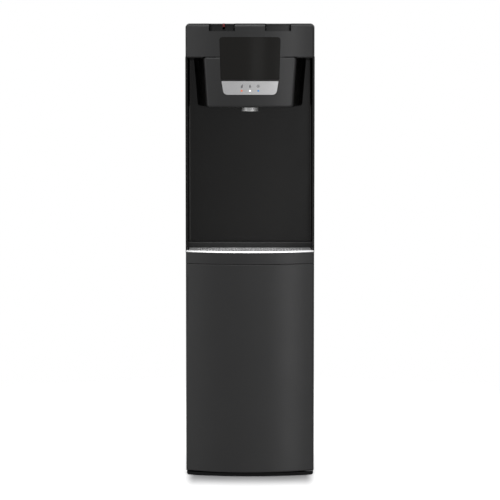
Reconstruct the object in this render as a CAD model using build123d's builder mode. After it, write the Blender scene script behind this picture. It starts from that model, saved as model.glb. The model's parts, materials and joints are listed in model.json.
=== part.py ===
"""Floor-standing, bottom-loading hot and cold water dispenser, in millimetres.

+X is to the right of a person facing the dispenser, -Y points at that person and +Z is up.
The origin is on the floor, under the middle of the whole machine.
"""

from build123d import *
from math import cos, radians, sin, sqrt
import os

os.makedirs("parts", exist_ok=True)

# ------------------------------------------------------------------ driving dimensions
WIDTH = 318.0  # over the side panels
HEIGHT = 1118.0
DEPTH = 372.0  # crown of the bowed front to the back of the condenser
BOW = 34.0  # how far the crown of the front stands out past its two edges
WALL = 2.5  # moulded covers
SHEET = 1.0  # folded sheet steel
GAP = 0.3  # between neighbouring pieces

HALF = WIDTH / 2
FRONT = -DEPTH / 2
EDGE = FRONT + BOW  # where the bowed front meets the sides
REAR = 151.5  # outer face of the cabinet's folded rear flanges
BOW_RADIUS = (HALF**2 + BOW**2) / (2 * BOW)
BOW_CENTRE = FRONT + BOW_RADIUS

# Levels, from the floor up
PLINTH_BOTTOM = 1.0
PLINTH_TOP = 8.0
DOOR_BOTTOM = 10.0
BAY_FLOOR = 30.0
DOOR_TOP = 527.0
FASCIA_BOTTOM = 527.7
TRAY_TOP = 554.7
TRIM_TOP = 560.2
BACKSPLASH_TOP = 572.0
SHELF = 575.0
NOSE_BOTTOM = 913.0
HOOD_BOTTOM = 1037.0

# Faces, from front to back
UPPER_SIDE_FRONT = -148.0  # side panels beside the dispensing recess
LOWER_SIDE_FRONT = -134.0  # side panels behind the door
DOOR_BACK = -138.0
ALCOVE_FACE = -36.0  # back wall of the dispensing recess
ALCOVE_BACK = -33.0
SIDE_INNER = HALF - SHEET
COVER_HALF = HALF - 0.6  # hood, 0.6 inside the side panels
DOOR_HALF = HALF - 1.2
INSERT_HALF = SIDE_INNER - 0.2  # pieces that stand between the side panels


def save(piece, name):
    """Label a finished piece and write it to its own file."""
    piece.part.label = name
    export_step(piece.part, f"parts/{name}.step")


def bow_y(x, inset=0.0):
    """Depth of the bowed front surface at x, set in from the outside by inset."""
    return BOW_CENTRE - sqrt((BOW_RADIUS - inset) ** 2 - x**2)


def bowed_plan(half, back, inset=0.0, corner=0.0):
    """Plan outline with straight sides and back, and the machine's bowed front."""
    with BuildSketch() as plan:
        with Locations((0, BOW_CENTRE)):
            Circle(BOW_RADIUS - inset)
        with Locations((0, (FRONT + back) / 2)):
            Rectangle(2 * half, back - FRONT, mode=Mode.INTERSECT)
        if corner:
            fillet(plan.vertices().group_by(Axis.Y)[0], corner)
    return plan.sketch


def bow_band(half, outer, inner):
    """Plan of a thin curved slab between two insets of the bowed front."""
    back = bow_y(half, inner)
    with BuildSketch() as band:
        add(bowed_plan(half, back, outer))
        with Locations((0, BOW_CENTRE)):
            Circle(BOW_RADIUS - inner, mode=Mode.SUBTRACT)
    return band.sketch


def plan_box(x0, x1, y0, y1):
    """Rectangle in plan, from its corner coordinates."""
    with BuildSketch() as box:
        with Locations(((x0 + x1) / 2, (y0 + y1) / 2)):
            Rectangle(x1 - x0, y1 - y0)
    return box.sketch


def slab(sketch, low, high, mode=Mode.ADD):
    """Raise a plan sketch from one level to another inside the current part."""
    with BuildSketch(Plane.XY.offset(low)) as outline:
        add(sketch)
    extrude(outline.sketch, amount=high - low, mode=mode)


def block(x0, x1, y0, y1, z0, z1, mode=Mode.ADD):
    """Straight-sided block from its corner coordinates, inside the current part."""
    slab(plan_box(x0, x1, y0, y1), z0, z1, mode)


def rod(centre, radius, low, high, mode=Mode.ADD):
    """Upright cylinder inside the current part."""
    with Locations((centre[0], centre[1], low)):
        Cylinder(radius, high - low, align=(Align.CENTER, Align.CENTER, Align.MIN), mode=mode)


def rod_x(x0, x1, y, z, radius, mode=Mode.ADD):
    """Cylinder along X inside the current part."""
    with BuildSketch(Plane.YZ.offset(x0)) as disc:
        with Locations((y, z)):
            Circle(radius)
    extrude(disc.sketch, amount=x1 - x0, mode=mode)


def rod_y(y0, y1, x, z, radius, mode=Mode.ADD):
    """Cylinder along Y, from y0 back to y1, inside the current part."""
    with BuildSketch(Plane.XZ.offset(-y0)) as disc:
        with Locations((x, z)):
            Circle(radius)
    extrude(disc.sketch, amount=-(y1 - y0), mode=mode)


def tube(points, bend, radius):
    """Round tube along straight runs joined by tangent arcs, inside the current part."""
    with BuildLine() as route:
        if len(points) > 2:
            FilletPolyline(*points, radius=bend)
        else:
            Line(*points)
    with BuildSketch(Plane(origin=route.line @ 0, z_dir=route.line % 0)) as disc:
        Circle(radius)
    sweep(disc.sketch, path=route.line)


def coil(centre, coil_radius, wire_radius, pitch, height):
    """Upright helical wire starting at centre, inside the current part."""
    turns = Helix(pitch=pitch, height=height, radius=coil_radius, center=centre)
    with BuildSketch(Plane(origin=turns @ 0, z_dir=turns % 0)) as disc:
        Circle(wire_radius)
    sweep(disc.sketch, path=turns, is_frenet=True)


# ------------------------------------------------------------------ base
PLINTH_HALF = HALF - 2.0
PLINTH_EDGE = -156.0
PLINTH_CROWN = -180.0
PLINTH_END = 5.0  # rounding of the plinth's lower front corners
BOTTLE_CENTRE = (0.0, 6.0)
BOTTLE_RADIUS = 135.0
FOOT_CENTRES = [(x, y) for x in (-132, 132) for y in (-112, 128)]
HINGE_AXIS = (151.0, -144.0)
PIN_RADIUS = 2.5

with BuildPart() as base_pan:
    with BuildSketch(Plane.XY.offset(PLINTH_BOTTOM)):
        with BuildLine():
            ThreePointArc((-PLINTH_HALF, PLINTH_EDGE), (0, PLINTH_CROWN), (PLINTH_HALF, PLINTH_EDGE))
            Polyline(
                (PLINTH_HALF, PLINTH_EDGE),
                (PLINTH_HALF, REAR),
                (-PLINTH_HALF, REAR),
                (-PLINTH_HALF, PLINTH_EDGE),
            )
        make_face()
    extrude(amount=PLINTH_TOP - PLINTH_BOTTOM)
    with BuildSketch(Plane.XZ) as plinth_front:
        with BuildLine():
            Polyline(
                (-PLINTH_HALF, PLINTH_BOTTOM),
                (PLINTH_HALF, PLINTH_BOTTOM),
                (PLINTH_HALF, PLINTH_TOP),
                (-PLINTH_HALF, PLINTH_TOP),
                close=True,
            )
        make_face()
        fillet(plinth_front.vertices().group_by(Axis.Y)[0], PLINTH_END)
    extrude(amount=HALF + 60, both=True, mode=Mode.INTERSECT)
    block(-INSERT_HALF, INSERT_HALF, LOWER_SIDE_FRONT + 1.7, REAR - 1.7, PLINTH_TOP, BAY_FLOOR)
    # shallow seat that centres the bottle, open at the front so the bottle slides in
    rod(BOTTLE_CENTRE, BOTTLE_RADIUS + 3, BAY_FLOOR - 2, BAY_FLOOR + 1, Mode.SUBTRACT)
    # ribbed underside
    for x0, x1 in ((-150, -53), (-50, 50), (53, 150)):
        for y0, y1 in ((-128, -42), (-39, 50), (53, 145)):
            block(x0, x1, y0, y1, PLINTH_BOTTOM, BAY_FLOOR - 6, Mode.SUBTRACT)
    for centre in FOOT_CENTRES:
        rod(centre, 12, PLINTH_BOTTOM, BAY_FLOOR - 5)
        rod(centre, 4.1, PLINTH_BOTTOM, PLINTH_BOTTOM + 12, Mode.SUBTRACT)
    rod(HINGE_AXIS, PIN_RADIUS + 0.02, PLINTH_BOTTOM + 2, PLINTH_TOP, Mode.SUBTRACT)
save(base_pan, "base_pan")

with BuildPart() as rubber_feet:
    for centre in FOOT_CENTRES:
        rod(centre, 14, 0, PLINTH_BOTTOM)
        rod(centre, 4, PLINTH_BOTTOM, PLINTH_BOTTOM + 11)
    fillet(rubber_feet.edges().group_by(Axis.Z)[0], 0.6)
save(rubber_feet, "rubber_feet")

# ------------------------------------------------------------------ side panels
SCREW_LEVELS = [40, 210, 380, 550, 600, 750, 900, 1015]
SCREW_X = 153.0
SHANK_RADIUS = 1.5


def side_panel(side):
    """Folded sheet side. side is -1 for the left one and 1 for the right one."""

    def ordered(a, b):
        return (min(side * a, side * b), max(side * a, side * b))

    with BuildPart() as panel:
        block(*ordered(SIDE_INNER, HALF), LOWER_SIDE_FRONT, REAR, PLINTH_TOP, TRAY_TOP)
        block(*ordered(SIDE_INNER, HALF), UPPER_SIDE_FRONT, REAR, TRAY_TOP, HOOD_BOTTOM)
        # flange that the door closes on
        front_flange = (LOWER_SIDE_FRONT, LOWER_SIDE_FRONT + SHEET)
        block(*ordered(145, HALF), *front_flange, PLINTH_TOP, FASCIA_BOTTOM - 1)
        # flange that the rear panels are screwed to
        block(*ordered(146, HALF), REAR - SHEET, REAR, PLINTH_TOP, HOOD_BOTTOM)
        upright = panel.edges().filter_by(Axis.Z)
        outer = upright.filter_by(lambda e: abs(abs(e.center().X) - HALF) < 0.01)
        fillet(outer.filter_by(lambda e: e.center().Y > REAR - 0.1), 0.9)
        for level in SCREW_LEVELS:
            rod_y(REAR - 2 * SHEET, REAR + 1, side * SCREW_X, level, SHANK_RADIUS + 0.1, Mode.SUBTRACT)
    return panel


save(side_panel(-1), "left_side_panel")
save(side_panel(1), "right_side_panel")

# ------------------------------------------------------------------ rear panels
PANEL_SPLIT = 574.0
PRESSING = 1.2  # how far the lower panel's middle is pressed out
REAR_OUT = REAR + SHEET
SWITCH_X = (42.0, 80.0)
SWITCH_Z = 1002.0
SWITCH_PLATE = (18.0, 104.0)
DRAIN = (108.0, 600.0)
GLAND = (-118.0, 606.0)
PASS_X = 137.0  # outer ends of the condenser's passes
PASS_Z = [970 - 32 * k for k in range(11)]
TUBE_Y = DEPTH / 2 - 4.12

with BuildPart() as rear_lower_panel:
    block(-157, 157, REAR, REAR_OUT, PLINTH_TOP, PANEL_SPLIT - GAP)
    for x in (-SCREW_X, SCREW_X):
        for level in SCREW_LEVELS[:4]:
            rod_y(REAR - 1, REAR_OUT + 1, x, level, SHANK_RADIUS + 0.1, Mode.SUBTRACT)
    # pressed stiffening field
    block(-120, 120, REAR_OUT, REAR_OUT + PRESSING, 70, 520)
    chamfer(rear_lower_panel.edges().group_by(Axis.Y)[-1], PRESSING - 0.1)
    block(-117, 117, REAR - 1, REAR + PRESSING, 73, 517, Mode.SUBTRACT)
save(rear_lower_panel, "rear_lower_panel")

with BuildPart() as rear_upper_panel:
    block(-157, 157, REAR, REAR_OUT, PANEL_SPLIT, HOOD_BOTTOM - 0.5)
    for x in (-SCREW_X, SCREW_X):
        for level in SCREW_LEVELS[4:]:
            rod_y(REAR - 1, REAR_OUT + 1, x, level, SHANK_RADIUS + 0.1, Mode.SUBTRACT)
    # cooling slots beside the compressor
    with BuildSketch(Plane.XZ.offset(-REAR + 1)):
        with Locations((0, 706)):
            with GridLocations(64, 13, 4, 10):
                SlotOverall(54, 6)
    extrude(amount=-(SHEET + 2), mode=Mode.SUBTRACT)
    rod_y(REAR - 1, REAR_OUT + 1, *DRAIN, 9.1, Mode.SUBTRACT)
    rod_y(REAR - 1, REAR_OUT + 1, *GLAND, 8.1, Mode.SUBTRACT)
    switch_hole = (SWITCH_PLATE[0] + 3, SWITCH_PLATE[1] - 3)
    block(*switch_hole, REAR - 1, REAR_OUT + 1, SWITCH_Z - 16, SWITCH_Z + 16, Mode.SUBTRACT)
    # the condenser's two ends
    rod_y(REAR - 1, REAR_OUT + 1, PASS_X, PASS_Z[0], 3.2, Mode.SUBTRACT)
    rod_y(REAR - 1, REAR_OUT + 1, -PASS_X, PASS_Z[-1], 3.2, Mode.SUBTRACT)
save(rear_upper_panel, "rear_upper_panel")

with BuildPart() as rear_screws:
    for x in (-SCREW_X, SCREW_X):
        for level in SCREW_LEVELS:
            rod_y(REAR - 6, REAR_OUT + 0.02, x, level, SHANK_RADIUS)
            rod_y(REAR_OUT + 0.02, REAR_OUT + 2.2, x, level, 3.4)
            block(x - 2.6, x + 2.6, REAR_OUT + 1.2, REAR_OUT + 3, level - 0.45, level + 0.45, Mode.SUBTRACT)
            block(x - 0.45, x + 0.45, REAR_OUT + 1.2, REAR_OUT + 3, level - 2.6, level + 2.6, Mode.SUBTRACT)
save(rear_screws, "rear_screws")

# ------------------------------------------------------------------ shelf between bottle bay and machinery
PROBE = (-127.0, 121.0)
COMPRESSOR = (44.0, 66.0)
PUMP = (-108.0, 52.0)
GROMMETS = [(COMPRESSOR[0] + dx, COMPRESSOR[1] + dy) for dx in (-72, 72) for dy in (-54, 54)]

with BuildPart() as partition_shelf:
    block(-INSERT_HALF, INSERT_HALF, ALCOVE_BACK + 0.5, REAR - SHEET - 0.3, SHELF, SHELF + 12)
    inside = (SHEET - INSERT_HALF, INSERT_HALF - SHEET, ALCOVE_BACK + 0.5 + SHEET, REAR - 2 * SHEET - 0.3)
    block(*inside, SHELF + SHEET, SHELF + 12, Mode.SUBTRACT)
    rod(PROBE, 8.05, SHELF - 1, SHELF + 3, Mode.SUBTRACT)
    for centre in GROMMETS:
        rod(centre, 3.05, SHELF - 1, SHELF + 3, Mode.SUBTRACT)
save(partition_shelf, "partition_shelf")

# ------------------------------------------------------------------ dispensing recess
CORNER = 5.0  # inside corners of the recess
with BuildPart() as alcove_panel:
    block(-INSERT_HALF, INSERT_HALF, UPPER_SIDE_FRONT, ALCOVE_BACK, TRAY_TOP + 0.2, HOOD_BOTTOM - 0.2)
    inner = plan_box(-154.5, 154.5, UPPER_SIDE_FRONT - 1, ALCOVE_FACE)
    with BuildSketch(Plane.XY.offset(TRAY_TOP)) as recess:
        add(inner)
        fillet(recess.vertices().group_by(Axis.Y)[-1], CORNER)
    extrude(amount=HOOD_BOTTOM - TRAY_TOP, mode=Mode.SUBTRACT)
    # hoses and wires pass through here into the head
    block(-84, 84, ALCOVE_FACE - 1, ALCOVE_BACK + 1, 936, 1030, Mode.SUBTRACT)
save(alcove_panel, "alcove_panel")

# ------------------------------------------------------------------ drip tray and its housing
TRAY_HALF = 140.0
TRAY_BACK = -50.0
GRILLE_HALF = 152.0
TRIM_RISE = 0.6

with BuildPart() as tray_housing:
    slab(bowed_plan(INSERT_HALF, ALCOVE_BACK, 0.4, 7), FASCIA_BOTTOM, TRAY_TOP)
    chamfer(tray_housing.edges().group_by(Axis.Z)[0], 0.8)
    slab(bowed_plan(TRAY_HALF, TRAY_BACK, 9.5, 5), FASCIA_BOTTOM + 3, TRAY_TOP + 1, Mode.SUBTRACT)
    # rib that carries the bright trim, set back to leave a shadow gap under it
    slab(bow_band(INSERT_HALF - 0.4, 2.2, 3.5), TRAY_TOP - 1, TRAY_TOP + TRIM_RISE)
    slab(bow_band(INSERT_HALF + 1, 0, 2.2), TRAY_TOP - 1, TRAY_TOP, Mode.SUBTRACT)
    # splash ledge along the foot of the back wall
    block(-154.2, 154.2, ALCOVE_FACE - 11, ALCOVE_FACE - 0.3, TRAY_TOP, BACKSPLASH_TOP)
    ledge = tray_housing.edges().filter_by(lambda e: e.center().Z > TRAY_TOP + 1)
    fillet(ledge.filter_by(Axis.Z).group_by(Axis.Y)[-1], CORNER + 0.3)
    fillet(tray_housing.edges().filter_by(Axis.X).group_by(Axis.Z)[-1].sort_by(Axis.Y)[0], 3.5)
    rod(HINGE_AXIS, PIN_RADIUS + 0.02, FASCIA_BOTTOM, FASCIA_BOTTOM + 12, Mode.SUBTRACT)
save(tray_housing, "tray_housing")

with BuildPart() as trim_strip:
    slab(bow_band(INSERT_HALF - 0.4, 0.5, 3.5), TRAY_TOP + TRIM_RISE + 0.02, TRIM_TOP)
save(trim_strip, "trim_strip")

with BuildPart() as drip_tray:
    slab(bowed_plan(TRAY_HALF - 0.6, TRAY_BACK - 0.6, 10.2, 4.5), FASCIA_BOTTOM + 3.3, TRAY_TOP - 0.3)
    slab(bowed_plan(TRAY_HALF - 2.6, TRAY_BACK - 2.6, 12.2, 2.8), FASCIA_BOTTOM + 5.3, TRAY_TOP, Mode.SUBTRACT)
save(drip_tray, "drip_tray")

SLOT_PITCH = 8.0
with BuildPart() as drip_grille:
    slab(bowed_plan(GRILLE_HALF, ALCOVE_FACE - 12, 4.2, 6), TRAY_TOP + 0.05, TRAY_TOP + 3)
    fillet(drip_grille.edges().group_by(Axis.Z)[-1], 0.8)
    # slots over the tray, the front row following the bow
    with BuildSketch(Plane.XY.offset(TRAY_TOP)):
        for column in range(-16, 17):
            x = column * SLOT_PITCH
            front = bow_y(x, 17)
            back = -60.0
            length = (back - front - 8) / 3
            for row in range(3):
                with Locations((x, front + length / 2 + row * (length + 4))):
                    SlotOverall(length, 4.4, rotation=90)
    extrude(amount=4, mode=Mode.SUBTRACT)
    # rim that locates the grille inside the tray
    slab(bowed_plan(TRAY_HALF - 3.2, TRAY_BACK - 3.2, 12.8, 2.5), TRAY_TOP - 3, TRAY_TOP + 0.1)
    slab(bowed_plan(TRAY_HALF - 5, TRAY_BACK - 5, 14.6, 1.5), TRAY_TOP - 4, TRAY_TOP + 0.05, Mode.SUBTRACT)
save(drip_grille, "drip_grille")

# ------------------------------------------------------------------ door
GRIP_Z = (392.0, 492.0)
with BuildPart() as door_skin:
    slab(bowed_plan(DOOR_HALF, DOOR_BACK, 0, 7), DOOR_BOTTOM, DOOR_TOP)
    rims = door_skin.edges().group_by(Axis.Z)
    for rim, radius in ((rims[0], 3.5), (rims[-1], 1.8)):
        fillet(rim.filter_by(lambda e: e.center().Y < DOOR_BACK - 0.1), radius)
    inside = bowed_plan(DOOR_HALF - WALL, DOOR_BACK - 3, WALL, 5)
    ribs = [DOOR_BOTTOM + WALL, 140, 268, 392, DOOR_TOP - WALL]
    for low, high in zip(ribs, ribs[1:]):
        slab(inside, low + (2 if low in ribs[1:] else 0), high, Mode.SUBTRACT)
    seat = (DOOR_BOTTOM + WALL, DOOR_TOP - WALL)
    block(-DOOR_HALF + WALL, DOOR_HALF - WALL, DOOR_BACK - 3, DOOR_BACK + 1, *seat, Mode.SUBTRACT)
    # bosses for the hinge pins
    for low, high in ((DOOR_BOTTOM + 1, 36), (504, DOOR_TOP - 1)):
        rod(HINGE_AXIS, 6.0, low, high)
    rod(HINGE_AXIS, PIN_RADIUS + 0.06, DOOR_BOTTOM - 1, 33, Mode.SUBTRACT)
    rod(HINGE_AXIS, PIN_RADIUS + 0.06, 507, DOOR_TOP + 1, Mode.SUBTRACT)
    # scooped finger grip on the opening edge
    block(-DOOR_HALF + 1, -143, bow_y(150, -1) + 2, DOOR_BACK, GRIP_Z[0] - 4, GRIP_Z[1] + 4)
    rod((-DOOR_HALF - 1, DOOR_BACK + 1), 9.5, *GRIP_Z, Mode.SUBTRACT)
save(door_skin, "door_skin")

with BuildPart() as door_liner:
    block(-155, 155, DOOR_BACK - 2.8, DOOR_BACK - 0.2, DOOR_BOTTOM + 2.8, DOOR_TOP - 2.8)
    with BuildSketch(Plane.XZ.offset(-DOOR_BACK + 0.2)):
        with Locations((0, 270)):
            RectangleRounded(250, 440, 14)
    extrude(amount=1.6, mode=Mode.SUBTRACT)
    for low, high in ((DOOR_BOTTOM, 36.3), (503.7, DOOR_TOP)):
        rod(HINGE_AXIS, 6.3, low, high, Mode.SUBTRACT)
        block(HINGE_AXIS[0] - 6.3, 160, DOOR_BACK - 4, DOOR_BACK, low, high, Mode.SUBTRACT)
    block(-160, -142.7, DOOR_BACK - 4, DOOR_BACK, GRIP_Z[0] - 4.3, GRIP_Z[1] + 4.3, Mode.SUBTRACT)
save(door_liner, "door_liner")

with BuildPart() as door_magnet:
    block(-153, -146, DOOR_BACK - 0.1, DOOR_BACK + 2.4, 240, 300)
save(door_magnet, "door_magnet")

with BuildPart() as door_bumpers:
    for level in (60, 345, 510):
        with Locations((-149.5, DOOR_BACK - 0.1, level)):
            Cylinder(4, 2.4, rotation=(-90, 0, 0), align=(Align.CENTER, Align.CENTER, Align.MIN))
save(door_bumpers, "door_bumpers")

with BuildPart() as lower_hinge_plate:
    block(138, 157.6, -150.5, LOWER_SIDE_FRONT - 0.5, PLINTH_TOP + 0.02, PLINTH_TOP + 1.6)
    rod(HINGE_AXIS, PIN_RADIUS + 0.02, PLINTH_TOP - 1, PLINTH_TOP + 3, Mode.SUBTRACT)
save(lower_hinge_plate, "lower_hinge_plate")

# ------------------------------------------------------------------ hood
PADDLE_X = (37.0, 100.5)  # inner and outer side of each paddle opening
PADDLE_BACK = -108.0
NOTCH_BOTTOM = 1099.5
ROOF = HEIGHT - WALL
LENS_HALF = (74.6, 71.8)  # at the top and bottom of the dark display window
LENS_Z = (981.5, 1084.5)
PLATE_HALF = (69.8, 64.4)  # at the top and bottom of the silver indicator plate
PLATE_Z = (944.0, 977.4)


def front_outline(halves, levels, top_corner, bottom_corner, grow=0.0):
    """Front view outline of a window: slightly tapered sides and rounded corners."""
    top, bottom = halves[0] + grow, halves[1] + grow
    low, high = levels[0] - grow, levels[1] + grow
    with BuildSketch() as outline:
        with BuildLine():
            Polyline((-bottom, low), (bottom, low), (top, high), (-top, high), close=True)
        make_face()
        fillet(outline.vertices().group_by(Axis.Y)[-1], top_corner + grow)
        fillet(outline.vertices().group_by(Axis.Y)[0], bottom_corner + grow)
    return outline.sketch


def through_front(outline, mode=Mode.SUBTRACT):
    """Extrude a front view outline through the bowed front of the current part."""
    with BuildSketch(Plane.XZ.offset(-FRONT + 2)) as window:
        add(outline)
    extrude(window.sketch, amount=-40, mode=mode)


lens_outline = front_outline(LENS_HALF, LENS_Z, 7, 1.5)
plate_outline = front_outline(PLATE_HALF, PLATE_Z, 1.0, 11)
lens_cut = front_outline(LENS_HALF, LENS_Z, 7, 1.5, GAP)
plate_cut = front_outline(PLATE_HALF, (PLATE_Z[0], LENS_Z[0]), 1.0, 11, 1.0)

with BuildPart() as hood_envelope:
    slab(bowed_plan(COVER_HALF, REAR_OUT + 1, 0, 11), HOOD_BOTTOM, HEIGHT)
    fillet(hood_envelope.edges().group_by(Axis.Z)[-1], 10.0)

with BuildPart() as hood:
    add(hood_envelope.part)
    slab(bowed_plan(COVER_HALF - WALL, REAR_OUT - 1.5, WALL, 8.5), HOOD_BOTTOM, ROOF - 5.5, Mode.SUBTRACT)
    slab(bowed_plan(COVER_HALF - 8, REAR_OUT - 7, 8, 4), ROOF - 6, ROOF, Mode.SUBTRACT)
    through_front(lens_cut)
    for side in (-1, 1):
        left, right = sorted((side * PADDLE_X[0], side * PADDLE_X[1]))
        block(left, right, FRONT - 1, PADDLE_BACK, NOTCH_BOTTOM, HEIGHT + 1, Mode.SUBTRACT)
save(hood, "hood")

# ------------------------------------------------------------------ head below the hood
NOSE_BACK = -158.0
NOSE_HALF = 108.6  # at the crown of the front, just under the hood
HEAD_BACK_HALF = 141.0
FLARE = (HEAD_BACK_HALF - NOSE_HALF) / (ALCOVE_FACE - FRONT)  # how fast the head's sides widen


def head_section(y, inset, low, high, corner):
    """Cross-section of the head at depth y: a trapezoid that widens towards the back and the top."""
    top = NOSE_HALF + FLARE * (y - FRONT) - inset
    bottom = top - 7.5 - 0.02 * (y - FRONT)
    slope = (top - bottom) / (HOOD_BOTTOM - NOSE_BOTTOM)
    top += slope * (high - HOOD_BOTTOM)
    with BuildSketch(Plane.XZ.offset(-y)) as section:
        with BuildLine():
            Polyline((-bottom, low), (bottom, low), (top, high), (-top, high), close=True)
        make_face()
        fillet(section.vertices().group_by(Axis.Z)[0], corner)
    return section.sketch


with BuildPart() as nose_hollow:
    loft([head_section(y, WALL, NOSE_BOTTOM + WALL, HOOD_BOTTOM + 2, 4.5) for y in (FRONT - 4, NOSE_BACK + 1)])
    slab(bowed_plan(HALF, NOSE_BACK + 1, WALL), NOSE_BOTTOM - 1, HOOD_BOTTOM + 3, Mode.INTERSECT)

with BuildPart() as nose_cover:
    loft([head_section(y, 0, NOSE_BOTTOM, HOOD_BOTTOM - 0.15, 7) for y in (FRONT - 4, NOSE_BACK)])
    slab(bowed_plan(HALF, NOSE_BACK, 0), NOSE_BOTTOM - 1, HOOD_BOTTOM + 1, Mode.INTERSECT)
    front_rim = nose_cover.edges().filter_by(lambda e: e.center().Y < NOSE_BACK - 4)
    front_rim = front_rim.filter_by(lambda e: e.center().Z < HOOD_BOTTOM - 1)
    fillet(front_rim, 6.0)
    add(nose_hollow.part, mode=Mode.SUBTRACT)
    through_front(lens_cut)
    through_front(plate_cut)
save(nose_cover, "nose_cover")

NOZZLE = (0.0, -111.0)
NOZZLE_RADIUS = 20.3
with BuildPart() as head_hollow:
    loft([head_section(y, WALL, NOSE_BOTTOM + WALL, HOOD_BOTTOM + 4, 4.5) for y in (NOSE_BACK - 1, ALCOVE_FACE + 1)])

with BuildPart() as wing_ceiling:
    with BuildSketch(Plane.YZ.offset(-154.2)):
        with BuildLine():
            Polyline((-147.5, 1037), (-36.3, 1037), (-36.3, 1027), (-147.5, 1034), close=True)
        make_face()
    extrude(amount=308.4)
    fillet(wing_ceiling.edges().filter_by(Axis.Z).group_by(Axis.Y)[-1], CORNER + 0.3)

with BuildPart() as head_shroud:
    loft([head_section(y, 0, NOSE_BOTTOM, HOOD_BOTTOM, 7) for y in (NOSE_BACK + 0.2, ALCOVE_FACE - 0.3)])
    # ceiling under the hood's two wings, sloping down towards the back wall and the head
    add(wing_ceiling.part)
    slab(bowed_plan(COVER_HALF - WALL - GAP, ALCOVE_FACE - 0.3, WALL + GAP, 6), HOOD_BOTTOM, HOOD_BOTTOM + 2.4)
    add(head_hollow.part, mode=Mode.SUBTRACT)
    block(-104, 104, FRONT, NOSE_BACK + 2, HOOD_BOTTOM - 1, HOOD_BOTTOM + 4, Mode.SUBTRACT)
    # collar round the nozzle
    rod(NOZZLE, NOZZLE_RADIUS + 5.5, NOSE_BOTTOM - 1.5, NOSE_BOTTOM + 1)
    rod(NOZZLE, NOZZLE_RADIUS + 0.15, NOSE_BOTTOM - 2.5, NOSE_BOTTOM + 5, Mode.SUBTRACT)
save(head_shroud, "head_shroud")

with BuildPart() as display_lens:
    slab(bow_band(90, 0.2, WALL), LENS_Z[0] - 10, LENS_Z[1] + 10)
    through_front(lens_outline, Mode.INTERSECT)
save(display_lens, "display_lens")

LED_X = (-20.3, 0.0, 20.3)
LED_Z = 953.9
LED_RADIUS = 2.3
with BuildPart() as indicator_plate:
    slab(bow_band(90, 0, WALL), PLATE_Z[0] - 10, PLATE_Z[1] + 10)
    through_front(plate_outline, Mode.INTERSECT)
    rim = indicator_plate.faces().sort_by(Axis.Y)[0].edges()
    chamfer(rim, 0.4)
    for x in LED_X:
        rod_y(FRONT - 2, FRONT + 6, x, LED_Z, LED_RADIUS + 0.1, Mode.SUBTRACT)
save(indicator_plate, "indicator_plate")

for name, x in zip(("hot_indicator", "power_indicator", "cold_indicator"), LED_X):
    with BuildPart() as light_pipe:
        rod_y(bow_y(x), FRONT + 9, x, LED_Z, LED_RADIUS)
        fillet(light_pipe.edges().group_by(Axis.Y)[0], 0.8)
    save(light_pipe, name)

with BuildPart() as panel_carrier:
    slab(bow_band(84, WALL + GAP, WALL + GAP + 2), PLATE_Z[0] - 6, LENS_Z[1] + 6)
    for x in LED_X:
        rod_y(FRONT - 2, FRONT + 12, x, LED_Z, LED_RADIUS + 0.3, Mode.SUBTRACT)
    for x in (-70, 70):
        block(x - 3, x + 3, bow_y(70, 4), -163, 1060, 1066)
save(panel_carrier, "panel_carrier")

# ------------------------------------------------------------------ nozzle
NOZZLE_END = 902.0
with BuildPart() as nozzle_ring:
    rod(NOZZLE, NOZZLE_RADIUS, NOZZLE_END, NOSE_BOTTOM + WALL)
    rod(NOZZLE, NOZZLE_RADIUS + 3, NOSE_BOTTOM + WALL + 0.02, NOSE_BOTTOM + WALL + 2)
    rod(NOZZLE, NOZZLE_RADIUS, NOSE_BOTTOM + WALL - 1, NOSE_BOTTOM + WALL + 2)
    rod(NOZZLE, NOZZLE_RADIUS - 2.3, NOZZLE_END - 1, NOSE_BOTTOM + 6, Mode.SUBTRACT)
    fillet(nozzle_ring.edges().group_by(Axis.Z)[0], 0.9)
save(nozzle_ring, "nozzle_ring")

SPOUT_X = (-7.5, 7.5)
with BuildPart() as spout_insert:
    rod(NOZZLE, NOZZLE_RADIUS - 2.4, NOZZLE_END + 5, 921)
    for x in SPOUT_X:
        centre = (NOZZLE[0] + x, NOZZLE[1])
        rod(centre, 5, 921, 936)
        rod(centre, 5, NOZZLE_END + 2, NOZZLE_END + 5)
        rod(centre, 3.4, NOZZLE_END + 1, 937, Mode.SUBTRACT)
save(spout_insert, "spout_insert")

# ------------------------------------------------------------------ paddles on the hood
PIVOT = (-103.0, 1107.0)
PIVOT_RADIUS = 1.5
SKIRT_INSET = 9.5
PADDLE_TOP = HEIGHT - 0.6
PADDLE_UNDER = PADDLE_TOP - 3.6
LATCH_X = -64.0
LATCH_HALF = 2.6


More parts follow.
